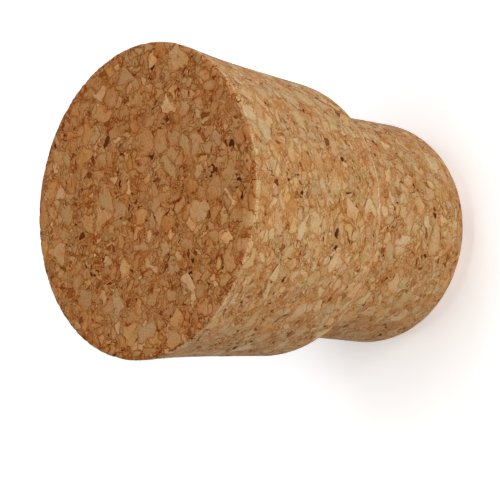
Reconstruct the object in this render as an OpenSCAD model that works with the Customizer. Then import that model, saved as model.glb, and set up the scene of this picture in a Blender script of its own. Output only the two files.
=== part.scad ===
// Cork stopper, turned from one block of agglomerated cork.
// It stands on the end of its plug with the head up, and the origin is the middle of that end.

/* [Head] */
// Diameter of the head at its widest, just under the flat top
head_d = 55; // [50:0.5:66]
// Height of the head, from the crease above the plug to the flat top
head_h = 37.5; // [32:0.5:60]
// Rounding of the rim around the flat top
rim_r = 0.6; // [0.2:0.1:4]
// Height of the hollow flare under the rim
flare_h = 15; // [8:0.5:24]
// Slope of the side at the top of the flare, in degrees from the axis
flare_slope = 8.5; // [5:0.5:14]
// Slope of the straight side under the flare, in degrees from the axis
side_slope = 4; // [0:0.5:4.5]

/* [Shoulder] */
// Radius of the rounded shoulder that leads down to the plug
shoulder_r = 8; // [3:0.5:40]
// Radius left in the crease where the shoulder meets the plug
crease_r = 1; // [0.4:0.1:4]

/* [Plug] */
// Diameter of the plug that seals the bottle's neck
plug_d = 41; // [34:0.5:47]
// Height of the plug, from its end to the crease
plug_h = 28; // [14:0.5:50]
// Rounding of the plug's end
plug_end_r = 8; // [1:0.5:12]

/* [Hidden] */
// Sides of every round seen from above
$fn = 180;
// The most that a straight step of an arc in the section may stray from the true arc
arc_error = 0.005;

// Vector of a given length at an angle, in degrees up from straight out
function polar(length, angle) = length * [cos(angle), sin(angle)];

// Points along an arc about a centre, from one angle to another
function arc(centre, radius, from, to) =
    let (longest_step = 2 * acos(1 - arc_error / radius))
    let (steps = ceil(abs(to - from) / longest_step))
    [for (i = [0:steps]) centre + polar(radius, from + (to - from) * i / steps)];

// The section is drawn as [distance from the axis, height].
plug_radius = plug_d / 2;
top_z = plug_h + head_h;

// Plug's end: a round that touches the flat end and the plug's side
plug_end_centre = [plug_radius - plug_end_r, plug_end_r];

// Rim: a round that touches the flat top
rim_centre = [head_d / 2 - rim_r, top_z - rim_r];

// Flare: a hollow arc that touches the rim's round and the straight side
flare_r = flare_h / (sin(flare_slope) - sin(side_slope));
flare_centre = rim_centre + polar(rim_r + flare_r, -flare_slope);
flare_foot = flare_centre + polar(flare_r, 180 - side_slope);

// Shoulder: an arc that touches the straight side. A shallow shoulder comes down to the sharp crease
// on the arc itself, and a deep one turns to a flat underside, level with the crease.
// Its depth is how far the crease lies inside the line of the straight side.
sharp_crease = [plug_radius, plug_h];
shoulder_depth = (flare_foot - sharp_crease) * polar(1, -side_slope);
deep_centre_z = plug_h + shoulder_r;
deep_centre = [
    flare_foot.x - (flare_foot.y - deep_centre_z) * tan(side_slope) - shoulder_r / cos(side_slope),
    deep_centre_z
];
function shallow_centre() =
    let (run = sqrt(shoulder_depth * (2 * shoulder_r - shoulder_depth)))
    sharp_crease - polar(shoulder_r - shoulder_depth, -side_slope) + polar(run, 90 - side_slope);
shoulder_centre = deep_centre.x > plug_radius ? deep_centre : shallow_centre();

// Crease: a hollow arc that touches the plug's side and the shoulder, or its flat underside
crease_x = plug_radius + crease_r;
crease_turn = acos(max(0, (crease_x - shoulder_centre.x) / (shoulder_r + crease_r)));
crease_centre = [crease_x, shoulder_centre.y - (shoulder_r + crease_r) * sin(crease_turn)];

// Half of the section, from the middle of the plug's end out and up to the flat top
module half_section() {
    polygon(concat(
        [[0, 0]],
        arc(plug_end_centre, plug_end_r, -90, 0),
        arc(crease_centre, crease_r, 180, 180 - crease_turn),
        arc(shoulder_centre, shoulder_r, -crease_turn, -side_slope),
        arc(flare_centre, flare_r, 180 - side_slope, 180 - flare_slope),
        arc(rim_centre, rim_r, -flare_slope, 90),
        [[0, top_z]]
    ));
}

module stopper() {
    color("#c1935f")
    rotate_extrude()
    half_section();
}

stopper();
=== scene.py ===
"""Looks of a turned cork stopper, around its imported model. Lengths are in metres."""

import math

import bmesh
import bpy
from mathutils import Matrix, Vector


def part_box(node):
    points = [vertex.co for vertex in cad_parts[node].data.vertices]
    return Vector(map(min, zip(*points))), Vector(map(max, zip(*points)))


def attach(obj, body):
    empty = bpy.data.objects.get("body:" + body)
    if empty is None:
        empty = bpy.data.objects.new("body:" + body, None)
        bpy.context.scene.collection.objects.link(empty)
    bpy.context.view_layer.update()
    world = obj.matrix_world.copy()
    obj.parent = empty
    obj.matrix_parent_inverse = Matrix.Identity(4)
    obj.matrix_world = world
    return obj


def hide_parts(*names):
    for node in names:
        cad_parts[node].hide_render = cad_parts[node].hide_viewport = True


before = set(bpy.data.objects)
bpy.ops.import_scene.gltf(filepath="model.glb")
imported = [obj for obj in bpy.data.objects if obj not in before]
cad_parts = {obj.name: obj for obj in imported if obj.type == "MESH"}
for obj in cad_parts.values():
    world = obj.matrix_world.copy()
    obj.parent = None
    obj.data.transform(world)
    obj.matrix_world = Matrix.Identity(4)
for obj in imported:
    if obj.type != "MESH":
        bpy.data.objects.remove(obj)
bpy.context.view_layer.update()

MM = 0.001

# The turned block: its sides, the step between its rings, and the share of an end's radius at which
# one more ring keeps the end's edge crisp
NODE = "stopper"
SIDES = 416
RING_STEP = 0.5 * MM
CRISP = 0.995
MERGE_GAP = 0.01 * MM
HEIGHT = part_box(NODE)[1][2]
RIM = (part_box(NODE)[1][0], HEIGHT)

# The cork was pressed flat along its axis. It is granules of a few widths in a bed of crumbs: each
# width with the share of them left whole, the seam of crumbs round each, and its darkest tone.
PRESSED_FLAT = 1.2
CRUMB = 0.6 * MM
MOST_ROUND = 0.65
LEAST_ROUND = 1.1
GRANULES = (
    (1.2 * MM, 0.62, 0.05 * MM, 0.0),
    (2.2 * MM, 0.5, 0.1 * MM, 0.1),
    (3.6 * MM, 0.3, 0.2 * MM, 0.25),
)
# How far in from its border a granule still rises and pales
DOMED = 0.45 * MM

# Holes that fallen crumbs have left, and the wear of the rim and the surface
PIT_SPACING = 4.5 * MM
PIT_SHARE = 0.4
PIT_RADII = (0.25 * MM, 0.75 * MM)
PIT_DEPTH = 0.35 * MM
NICK_REACH = 1.3 * MM
NICK_DEPTH = 0.12 * MM
UNEVENNESS = 0.05 * MM

# The rim is rubbed, and a ring of the shoulder carries a painted highlight, as far out as this.
# The ring is where the shoulder turns in by more than this slope, its run inwards over its drop.
RUBBED_AND_HIGHLIT_REACH = 2 * MM
HIGHLIGHT_SLOPE = 0.6

# The table, wide enough to fill every view
TABLE_WIDTH = 4.0

# The camera, as an orbit round a point beside the stopper's axis
CAMERA_AIM = (-6.06 * MM, 0.0, 38.26 * MM)
CAMERA_DISTANCE = 455.7 * MM
CAMERA_ELEVATION = math.radians(44.37)
CAMERA_ROLL = math.radians(-82.61)
CAMERA_LENS = 183.53

# Sockets of a Mix node that mixes colours
MIX_A, MIX_B, MIX_OUT = 6, 7, 2


def linear(colour):
    """An sRGB hex colour as linear red, green, blue and alpha."""
    channels = [int(colour[i:i + 2], 16) / 255 for i in (1, 3, 5)]
    return [c / 12.92 if c <= 0.04045 else ((c + 0.055) / 1.055) ** 2.4 for c in channels] + [1.0]


def add(tree, kind, inputs=None, stops=(), **settings):
    """Adds a node to a tree. An input is a value, a node or one of a node's outputs, and stops are a
    colour ramp's places and hex colours."""
    node = tree.nodes.new(kind)
    for name, value in settings.items():
        setattr(node, name, value)
    for socket, given in (inputs or {}).items():
        if isinstance(given, bpy.types.Node):
            given = given.outputs[0]
        if isinstance(given, bpy.types.NodeSocket):
            tree.links.new(given, node.inputs[socket])
        else:
            node.inputs[socket].default_value = given
    for _ in stops[2:]:
        node.color_ramp.elements.new(0.5)
    for i, (place, colour) in enumerate(stops):
        node.color_ramp.elements[i].position = place
        node.color_ramp.elements[i].color = linear(colour)
    return node


# ---------------------------------------------------------------- shape

def rings_of(cad_node):
    """Radius and height of each ring of the CAD part's turned side, bottom to top."""
    widest = {}
    for vertex in cad_node.data.vertices:
        height = round(vertex.co.z, 6)
        widest[height] = max(widest.get(height, 0.0), vertex.co.xy.length)
    return [(radius, height) for height, radius in sorted(widest.items())]


def closer_rings(rings, step):
    """The same rings, with more of them where they lie further apart than the step."""
    closer = [rings[0]]
    for (r1, z1), (r2, z2) in zip(rings, rings[1:]):
        parts = max(1, round(math.hypot(r2 - r1, z2 - z1) / step))
        for i in range(1, parts + 1):
            closer.append((r1 + (r2 - r1) * i / parts, z1 + (z2 - z1) * i / parts))
    return closer


def shoulder_edge(rings):
    """The highest ring where the side turns in to the plug by more than the painted highlight's slope."""
    for (r1, z1), (r2, z2) in reversed(list(zip(rings, rings[1:]))):
        if r2 - r1 > HIGHLIGHT_SLOPE * (z2 - z1):
            return r2, z2


def turn_block(rings):
    """Draws the half section as a chain of edges, spins it round the axis and closes both ends."""
    bpy.ops.object.select_all(action="DESELECT")
    bpy.ops.mesh.primitive_plane_add(size=RING_STEP)
    block = bpy.context.object
    block.name = "cork_stopper"
    bpy.ops.object.mode_set(mode="EDIT")
    bpy.ops.mesh.select_all(action="SELECT")
    bpy.ops.mesh.merge(type="CENTER")
    bpy.ops.transform.translate(value=(rings[0][0], 0, rings[0][1]))
    for (r1, z1), (r2, z2) in zip(rings, rings[1:]):
        bpy.ops.mesh.extrude_region_move(TRANSFORM_OT_translate={"value": (r2 - r1, 0, z2 - z1)})
    bpy.ops.mesh.select_all(action="SELECT")
    bpy.ops.mesh.spin(steps=SIDES, angle=math.tau, center=(0, 0, 0), axis=(0, 0, 1))
    bpy.ops.mesh.select_all(action="SELECT")
    bpy.ops.mesh.remove_doubles(threshold=MERGE_GAP)
    for height in (rings[0][1], rings[-1][1]):
        close_end(block, height)
    bpy.ops.mesh.select_all(action="SELECT")
    bpy.ops.mesh.normals_make_consistent(inside=False)
    bpy.ops.object.mode_set(mode="OBJECT")
    bpy.ops.object.shade_smooth()
    return block


def close_end(block, height):
    """Closes the open ring at a height with a grid of even faces."""
    bpy.ops.mesh.select_all(action="DESELECT")
    shape = bmesh.from_edit_mesh(block.data)
    for edge in shape.edges:
        if edge.is_boundary and abs(edge.verts[0].co.z - height) < MERGE_GAP:
            edge.select_set(True)
    bmesh.update_edit_mesh(block.data)
    bpy.ops.mesh.extrude_region_move()
    bpy.ops.transform.resize(value=(CRISP, CRISP, 1), center_override=(0, 0, height))
    bpy.ops.mesh.fill_grid(span=SIDES // 4)


def wear_surface(block):
    """Sinks the pits and the nicks of the rim into the block, and makes its surface a little uneven."""
    tree = bpy.data.node_groups.new("worn_surface", "GeometryNodeTree")
    tree.interface.new_socket("Geometry", in_out="INPUT", socket_type="NodeSocketGeometry")
    tree.interface.new_socket("Geometry", in_out="OUTPUT", socket_type="NodeSocketGeometry")
    block_in = add(tree, "NodeGroupInput")
    point = add(tree, "GeometryNodeInputPosition")
    place = crumpled_place(tree, point)

    bumps = add(tree, "ShaderNodeTexNoise", {"Vector": place, "Scale": 1 / (1.8 * MM), "Detail": 1})
    sunk = add(tree, "ShaderNodeMapRange", {0: bumps, 1: 0.3, 2: 0.7, 3: 0.0, 4: UNEVENNESS})
    sunk = add(tree, "ShaderNodeMath", {0: pits(tree, place), 1: PIT_DEPTH, 2: sunk},
               operation="MULTIPLY_ADD")
    sunk = add(tree, "ShaderNodeMath", {0: rim_nicks(tree, point, place), 1: NICK_DEPTH, 2: sunk},
               operation="MULTIPLY_ADD")
    inward = add(tree, "ShaderNodeMath", {0: sunk, 1: -1}, operation="MULTIPLY")
    offset = add(tree, "ShaderNodeVectorMath", {0: add(tree, "GeometryNodeInputNormal"), "Scale": inward},
                 operation="SCALE")
    moved = add(tree, "GeometryNodeSetPosition", {"Geometry": block_in, "Offset": offset})
    add(tree, "NodeGroupOutput", {0: moved})

    block.modifiers.new("worn_surface", "NODES").node_group = tree
    bpy.ops.object.modifier_apply(modifier="worn_surface")
    bpy.data.node_groups.remove(tree)


# ---------------------------------------------------------------- cork

def crumpled(tree, place, wave, push):
    """The same place, pushed about by noise of one wavelength."""
    noise = add(tree, "ShaderNodeTexNoise", {"Vector": place, "Scale": 1 / wave, "Detail": 2})
    centred = add(tree, "ShaderNodeVectorMath", {0: noise.outputs["Color"], 1: (0.5, 0.5, 0.5)},
                  operation="SUBTRACT")
    return add(tree, "ShaderNodeVectorMath", {0: centred, 1: (push, push, push), 2: place},
               operation="MULTIPLY_ADD")


def crumpled_place(tree, point):
    """A point of the block as it was before the cork was pressed and crumpled. Patterns are drawn there."""
    pressed = add(tree, "ShaderNodeVectorMath", {0: point, 1: (1, 1, PRESSED_FLAT)}, operation="MULTIPLY")
    return crumpled(tree, crumpled(tree, pressed, 3 * MM, 3.2 * MM), 0.9 * MM, 0.7 * MM)


def granules(tree, place, width):
    """Granules of one width, more or less rounded: three random numbers for each, and the distance to
    its border."""
    cells = add(tree, "ShaderNodeTexVoronoi", {"Vector": place, "Scale": 1 / width})
    edges = add(tree, "ShaderNodeTexVoronoi", {"Vector": place, "Scale": 1 / width},
                feature="DISTANCE_TO_EDGE")
    chance = add(tree, "ShaderNodeSeparateXYZ", {0: cells.outputs["Color"]}).outputs
    corners = add(tree, "ShaderNodeMapRange", {0: chance[2], 3: MOST_ROUND, 4: LEAST_ROUND})
    corners = add(tree, "ShaderNodeMath", {0: corners, 1: cells}, operation="SUBTRACT")
    border = add(tree, "ShaderNodeMath", {0: edges, 1: corners}, operation="MINIMUM")
    border = add(tree, "ShaderNodeMath", {0: border, 1: width}, operation="MULTIPLY")
    return cells.outputs["Color"], border


def pits(tree, place):
    """Small pits here and there: 0 on the surface, 1 at the bottom of a pit."""
    smallest, largest = (radius / PIT_SPACING for radius in PIT_RADII)
    cells = add(tree, "ShaderNodeTexVoronoi", {"Vector": place, "Scale": 1 / PIT_SPACING})
    chance = add(tree, "ShaderNodeSeparateXYZ", {0: cells.outputs["Color"]}).outputs
    edge = add(tree, "ShaderNodeMapRange", {0: chance[1], 3: smallest, 4: largest})
    middle = add(tree, "ShaderNodeMath", {0: edge, 1: 0.4}, operation="MULTIPLY")
    depth = add(tree, "ShaderNodeMapRange", {0: cells, 1: edge, 2: middle}, interpolation_type="SMOOTHSTEP")
    is_pit = add(tree, "ShaderNodeMath", {0: chance[0], 1: 1 - PIT_SHARE}, operation="GREATER_THAN")
    return add(tree, "ShaderNodeMath", {0: depth, 1: is_pit}, operation="MULTIPLY")


def near_ring(tree, point, ring, reach):
    """1 on a ring round the axis, given by its radius and height, falling to 0 at this distance."""
    level = add(tree, "ShaderNodeVectorMath", {0: point, 1: (0, 0, ring[1])}, operation="SUBTRACT")
    parts = add(tree, "ShaderNodeSeparateXYZ", {0: level}).outputs
    flat = add(tree, "ShaderNodeCombineXYZ", {0: parts[0], 1: parts[1]})
    radius = add(tree, "ShaderNodeVectorMath", {0: flat}, operation="LENGTH").outputs["Value"]
    inset = add(tree, "ShaderNodeMath", {0: ring[0], 1: radius}, operation="SUBTRACT")
    gap = add(tree, "ShaderNodeCombineXYZ", {0: inset, 1: parts[2]})
    distance = add(tree, "ShaderNodeVectorMath", {0: gap}, operation="LENGTH").outputs["Value"]
    return add(tree, "ShaderNodeMapRange", {0: distance, 1: 0.0, 2: reach, 3: 1.0, 4: 0.0})


def rim_nicks(tree, point, place):
    """Small nicks in the rim of the head, as deep as 1."""
    cells = add(tree, "ShaderNodeTexNoise", {"Vector": place, "Scale": 1 / (0.9 * MM), "Detail": 1})
    nick = add(tree, "ShaderNodeMapRange", {0: cells, 1: 0.48, 2: 0.66})
    close = add(tree, "ShaderNodeMapRange", {0: near_ring(tree, point, RIM, NICK_REACH), 1: 0.0, 2: 0.6})
    return add(tree, "ShaderNodeMath", {0: nick, 1: close}, operation="MULTIPLY")


def agglomerated_cork(shoulder):
    """Agglomerated cork, sawn at the ends and ground on the side: tan granules of many sizes, pressed
    flat along the axis, in a bed of crumbs, with small red-brown gaps and a few dark chips of bark. It
    is matt."""
    # The shoulder ring given is where one half of the shoulder's edge carries a painted highlight
    material = bpy.data.materials.new("agglomerated_cork")
    material.use_nodes = True
    tree = material.node_tree
    tree.nodes.clear()
    coords = add(tree, "ShaderNodeTexCoord").outputs
    point = coords["Object"]
    place = crumpled_place(tree, point)

    # From crumbs to the largest granules: traits are three random numbers of the granule at a point,
    # and inner is the distance from its surface.
    traits, inner = granules(tree, place, CRUMB)
    chance = add(tree, "ShaderNodeSeparateXYZ", {0: traits}).outputs
    tone = add(tree, "ShaderNodeMath", {0: chance[1], 1: 0.9}, operation="MULTIPLY")
    for width, share, seam, darkest in GRANULES:
        flatter = (1, 1, 1 + 0.03 * width / MM)
        flat = add(tree, "ShaderNodeVectorMath", {0: place, 1: flatter}, operation="MULTIPLY")
        own, border = granules(tree, flat, width)
        chance = add(tree, "ShaderNodeSeparateXYZ", {0: own}).outputs
        whole = add(tree, "ShaderNodeMath", {0: chance[0], 1: 1 - share}, operation="GREATER_THAN")
        depth = add(tree, "ShaderNodeMath", {0: border, 1: seam}, operation="SUBTRACT")
        inside = add(tree, "ShaderNodeMath", {0: depth, 1: 0}, operation="GREATER_THAN")
        inside = add(tree, "ShaderNodeMath", {0: inside, 1: whole}, operation="MULTIPLY")
        broken = add(tree, "ShaderNodeMath", {0: 1, 1: whole}, operation="SUBTRACT")
        outside = add(tree, "ShaderNodeMath", {0: depth}, operation="ABSOLUTE")
        outside = add(tree, "ShaderNodeMath", {0: outside, 1: broken}, operation="ADD")
        outside = add(tree, "ShaderNodeMath", {0: inner, 1: outside}, operation="MINIMUM")
        inner = add(tree, "ShaderNodeMix", {0: inside, 2: outside, 3: depth})
        own_tone = add(tree, "ShaderNodeMapRange", {0: chance[1], 3: darkest, 4: 1.0})
        tone = add(tree, "ShaderNodeMix", {0: inside, 2: tone, 3: own_tone})
        traits = add(tree, "ShaderNodeMix", {0: inside, 4: traits, 5: own}, data_type="VECTOR").outputs[1]

    # Growth lines, in each granule's own direction
    growth = add(tree, "ShaderNodeVectorMath", {0: traits, 1: (0.5, 0.5, 0.5)}, operation="SUBTRACT")
    growth = add(tree, "ShaderNodeVectorMath", {0: growth}, operation="NORMALIZE")
    along = add(tree, "ShaderNodeVectorMath", {0: point, 1: growth}, operation="DOT_PRODUCT")
    along = along.outputs["Value"]
    along = add(tree, "ShaderNodeMath", {0: along, 1: -0.85}, operation="MULTIPLY")
    along = add(tree, "ShaderNodeVectorMath", {0: growth, "Scale": along}, operation="SCALE")
    drawn = add(tree, "ShaderNodeVectorMath", {0: point, 1: along}, operation="ADD")
    lines = add(tree, "ShaderNodeTexNoise", {"Vector": drawn, "Scale": 1 / (0.22 * MM), "Detail": 2})
    uneven = add(tree, "ShaderNodeTexNoise", {"Vector": point, "Scale": 1 / (4 * MM), "Detail": 4})
    stains = add(tree, "ShaderNodeTexNoise", {"Vector": place, "Scale": 1 / (1.6 * MM), "Detail": 3})
    pores = add(tree, "ShaderNodeTexNoise", {"Vector": place, "Scale": 1 / (0.4 * MM), "Detail": 1})
    grain = add(tree, "ShaderNodeTexNoise", {"Vector": point, "Scale": 1 / (0.3 * MM), "Detail": 3})

    # Gaps between the granules, wide and dark in some places and closed in others. They are open on
    # the sawn ends, most of all by the rim, and half full of dust on the ground side.
    height = add(tree, "ShaderNodeSeparateXYZ", {0: point}).outputs[2]
    top = add(tree, "ShaderNodeMapRange", {0: height, 1: HEIGHT - 0.5 * MM, 2: HEIGHT - 0.3 * MM})
    base = add(tree, "ShaderNodeMapRange", {0: height, 1: 0.4 * MM, 2: 0.2 * MM})
    sawn = add(tree, "ShaderNodeMath", {0: top, 1: base}, operation="MAXIMUM")
    patchy = add(tree, "ShaderNodeTexNoise", {"Vector": point, "Scale": 1 / (2.4 * MM), "Detail": 3})
    fewest = add(tree, "ShaderNodeMapRange", {0: sawn, 3: 0.48, 4: 0.42})
    patchy = add(tree, "ShaderNodeMapRange", {0: patchy, 1: fewest, 2: 0.7})
    patchy = add(tree, "ShaderNodeMath", {0: patchy, 1: 1.7}, operation="POWER")
    by_rim = add(tree, "ShaderNodeMath", {0: near_ring(tree, point, RIM, RUBBED_AND_HIGHLIT_REACH), 1: sawn},
                 operation="MULTIPLY")
    patchy = add(tree, "ShaderNodeMath", {0: by_rim, 1: 0.35, 2: patchy}, operation="MULTIPLY_ADD")
    reach = add(tree, "ShaderNodeMapRange", {0: patchy, 3: 0.03 * MM, 4: 0.17 * MM}, clamp=False)
    gap = add(tree, "ShaderNodeMath", {0: inner, 1: reach}, operation="DIVIDE")
    gap = add(tree, "ShaderNodeMapRange", {0: gap, 3: 1.0, 4: 0.0})
    openness = add(tree, "ShaderNodeMapRange", {0: sawn, 3: 0.62, 4: 0.78})
    gap = add(tree, "ShaderNodeMath", {0: gap, 1: openness}, operation="MULTIPLY")
    pit = pits(tree, place)

    # Dust dulls the palest granules on the ground side
    palest = add(tree, "ShaderNodeMapRange", {0: sawn, 3: 0.88, 4: 1.0})
    tone = add(tree, "ShaderNodeMath", {0: tone, 1: palest}, operation="MINIMUM")
    tone = add(tree, "ShaderNodeValToRGB", {0: tone}, (
        (0.0, "#4a2f18"), (0.012, "#54371e"), (0.016, "#7d4f28"), (0.05, "#98693c"), (0.08, "#bc9a73"),
        (0.3, "#c1a581"), (0.6, "#c5ac88"), (0.8, "#c9b290"), (0.93, "#d2bfa1"), (1.0, "#e1d4bc")))
    hue = add(tree, "ShaderNodeSeparateXYZ", {0: traits}).outputs[2]
    within = add(tree, "ShaderNodeMapRange", {0: inner, 2: DOMED})
    layers = (
        (hue, ((0.0, "#ffefd4"), (0.25, "#fcf4ec"), (0.45, "#f4f4e8"), (0.7, "#fcf2ef"), (1.0, "#f3f4f7"))),
        (within, ((0.0, "#f6e7cf"), (0.4, "#fcf5e9"), (1.0, "#ffffff"))),
        (lines, ((0.3, "#efe0cb"), (0.5, "#fbf6ef"), (0.65, "#ffffff"))),
        (uneven, ((0.35, "#f5e3ca"), (0.5, "#fcf8f2"), (0.65, "#f6fcff"))),
        (grain, ((0.35, "#efe4d4"), (0.5, "#faf6f0"), (0.65, "#ffffff"))),
        (stains, ((0.6, "#ffffff"), (0.72, "#d6c2a6"))),
        (pores, ((0.68, "#ffffff"), (0.76, "#c5a37c"))),
        (gap, ((0.0, "#ffffff"), (0.3, "#f4e1c8"), (0.6, "#d7ae84"), (1.0, "#9a6232"))),
        (pit, ((0.0, "#ffffff"), (1.0, "#c5a37c"))),
        (sawn, ((0.0, "#ffffff"), (1.0, "#f5deca"))))
    colour = tone
    for amount, stops in layers:
        tint = add(tree, "ShaderNodeValToRGB", {0: amount}, stops)
        colour = add(tree, "ShaderNodeMix", {0: 1.0, MIX_A: colour, MIX_B: tint}, data_type="RGBA",
                     blend_type="MULTIPLY").outputs[MIX_OUT]

    # The side is rubbed pale under the rim, and one half of the shoulder's edge carries a painted highlight
    across = add(tree, "ShaderNodeSeparateXYZ", {0: point}).outputs[0]
    half = add(tree, "ShaderNodeMapRange", {0: across, 1: -3 * MM, 2: 5 * MM})
    # Painted highlight: the shoulder's edge is painted pale on its +x half only, the half towards the cool
    # side light
    shoulder_highlight = add(tree, "ShaderNodeMath", {0: near_ring(tree, point, shoulder, RUBBED_AND_HIGHLIT_REACH), 1: half},
               operation="MULTIPLY")
    edges = add(tree, "ShaderNodeMath", {0: near_ring(tree, point, RIM, RUBBED_AND_HIGHLIT_REACH), 1: shoulder_highlight},
                operation="MAXIMUM")
    ragged = add(tree, "ShaderNodeMath", {0: stains, 1: 2, 2: edges}, operation="MULTIPLY_ADD")
    ragged = add(tree, "ShaderNodeMath", {0: grain, 1: 2.5, 2: ragged}, operation="MULTIPLY_ADD")
    rubbed_and_highlit = add(tree, "ShaderNodeMapRange", {0: ragged, 1: 2.85, 2: 3.35, 4: 0.55})
    ground = add(tree, "ShaderNodeMath", {0: 1, 1: sawn}, operation="SUBTRACT")
    rubbed_and_highlit = add(tree, "ShaderNodeMath", {0: rubbed_and_highlit, 1: ground}, operation="MULTIPLY")
    # The same pale colour is the rubbed rim and the painted highlight on the shoulder
    colour = add(tree, "ShaderNodeMix", {0: rubbed_and_highlit, MIX_A: colour, MIX_B: linear("#e0c49c")},
                 data_type="RGBA").outputs[MIX_OUT]

    # Relief too fine for the mesh: sunken gaps, and the torn cells of the cork
    raised = add(tree, "ShaderNodeMapRange", {0: inner, 2: DOMED, 4: 0.7},
                 interpolation_type="SMOOTHSTEP")
    relief = add(tree, "ShaderNodeMath", {0: grain, 1: 0.5, 2: raised}, operation="MULTIPLY_ADD")
    relief = add(tree, "ShaderNodeMath", {0: relief, 1: gap}, operation="SUBTRACT")
    bump = add(tree, "ShaderNodeBump", {"Height": relief, "Strength": 0.8, "Distance": 0.06 * MM})
    surface = add(tree, "ShaderNodeBsdfPrincipled", {"Base Color": colour, "Normal": bump, "Roughness": 0.8,
                                                     "IOR": 1.4, "Specular IOR Level": 0.1,
                                                     "Sheen Weight": 0.02, "Sheen Roughness": 0.4})
    add(tree, "ShaderNodeOutputMaterial", {"Surface": surface})
    return material


def white_table():
    """The matt white table that the stopper stands on. It gives off a little light, to stay white."""
    material = bpy.data.materials.new("white_table")
    material.use_nodes = True
    tree = material.node_tree
    tree.nodes.clear()
    surface = add(tree, "ShaderNodeBsdfPrincipled", {
        "Base Color": linear("#fafafa"), "Roughness": 0.9, "Emission Color": linear("#ffffff"),
        "Emission Strength": 0.36})
    add(tree, "ShaderNodeOutputMaterial", {"Surface": surface})
    return material


# ---------------------------------------------------------------- studio

def table_top():
    """A wide floor under the stopper."""
    bpy.ops.object.select_all(action="DESELECT")
    bpy.ops.mesh.primitive_plane_add(size=TABLE_WIDTH)
    floor = bpy.context.object
    floor.name = "table_top"
    floor.data.materials.append(white_table())


def soft_light(name, azimuth, elevation, power, colour="#ffffff", size=0.5, distance=0.9):
    """A square soft light that faces the stopper. Azimuth 0 is the camera's side."""
    light = bpy.data.lights.new(name, "AREA")
    light.size = size
    light.energy = power
    light.color = linear(colour)[:3]
    lamp = bpy.data.objects.new(name, light)
    bpy.context.scene.collection.objects.link(lamp)
    aim = Matrix.Translation((0, 0, HEIGHT / 2))
    lamp.matrix_world = (aim @ Matrix.Rotation(math.radians(azimuth), 4, "Z")
                         @ Matrix.Rotation(math.radians(90 - elevation), 4, "X")
                         @ Matrix.Translation((0, 0, distance)))


def studio():
    """Soft lights, an even pale surround and the camera."""
    scene = bpy.context.scene
    world = bpy.data.worlds.new("surround")
    scene.world = world
    world.use_nodes = True
    world.node_tree.nodes["Background"].inputs["Color"].default_value = linear("#ffffff")
    world.node_tree.nodes["Background"].inputs["Strength"].default_value = 0.05
    soft_light("key", 18, 22, 4.6)
    soft_light("overhead", 0, 90, 5.0)
    soft_light("cool_side", 110, 22, 2.6, "#e4edff")
    soft_light("warm_fill", -60, 12, 0.35, "#ffc898")

    camera = bpy.data.objects.new("camera", bpy.data.cameras.new("camera"))
    scene.collection.objects.link(camera)
    camera.data.lens = CAMERA_LENS
    camera.matrix_world = (Matrix.Translation(CAMERA_AIM)
                           @ Matrix.Rotation(math.pi / 2 - CAMERA_ELEVATION, 4, "X")
                           @ Matrix.Rotation(CAMERA_ROLL, 4, "Z")
                           @ Matrix.Translation((0, 0, CAMERA_DISTANCE)))
    scene.camera = camera
    scene.view_settings.view_transform = "Standard"


rings = rings_of(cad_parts[NODE])
stopper = turn_block(closer_rings(rings, RING_STEP))
wear_surface(stopper)
stopper.data.materials.append(agglomerated_cork(shoulder_edge(rings)))
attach(stopper, "root")
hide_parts(NODE)

table_top()
studio()
